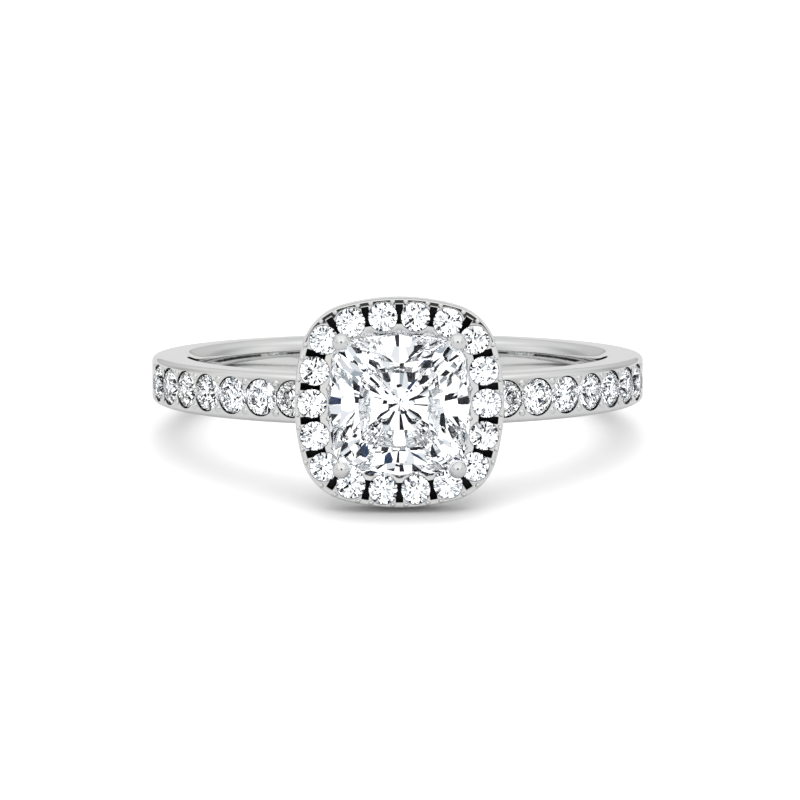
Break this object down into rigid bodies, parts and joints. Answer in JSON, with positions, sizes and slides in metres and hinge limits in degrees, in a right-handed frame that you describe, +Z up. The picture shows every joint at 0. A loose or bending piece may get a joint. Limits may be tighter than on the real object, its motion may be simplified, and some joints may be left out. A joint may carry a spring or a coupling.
{
  "type": "halo ring",
  "caption": "Halo engagement ring lying on its side: cushion-cut stone in four prongs, a cushion halo of round stones and stone-set shoulders on a polished band.",
  "frame": {"origin": "middle of the finger hole, on its axis", "axes": "+Z up from the surface the ring lies on, -Y towards the head's face, X across the face; the finger hole's axis leans back from +Z by the tip at which the halo's edge and the back of the band both touch the surface"},
  "size_m": [0.02, 0.0223, 0.0084],
  "materials": {
    "white_gold": "polished",
    "diamond": "cut and polished"
  },
  "bodies": {
    "root": {"mounting": "white_gold", "centre_stone": "diamond", "halo_stone_01": "diamond", "halo_stone_02": "diamond", "halo_stone_03": "diamond", "halo_stone_04": "diamond", "halo_stone_05": "diamond", "halo_stone_06": "diamond", "halo_stone_07": "diamond", "halo_stone_08": "diamond", "halo_stone_09": "diamond", "halo_stone_10": "diamond", "halo_stone_11": "diamond", "halo_stone_12": "diamond", "halo_stone_13": "diamond", "halo_stone_14": "diamond", "halo_stone_15": "diamond", "halo_stone_16": "diamond", "halo_stone_17": "diamond", "halo_stone_18": "diamond", "shoulder_stone_left_01": "diamond", "shoulder_stone_left_02": "diamond", "shoulder_stone_left_03": "diamond", "shoulder_stone_left_04": "diamond", "shoulder_stone_left_05": "diamond", "shoulder_stone_left_06": "diamond", "shoulder_stone_left_07": "diamond", "shoulder_stone_right_01": "diamond", "shoulder_stone_right_02": "diamond", "shoulder_stone_right_03": "diamond", "shoulder_stone_right_04": "diamond", "shoulder_stone_right_05": "diamond", "shoulder_stone_right_06": "diamond", "shoulder_stone_right_07": "diamond"}
  },
  "joints": []
}
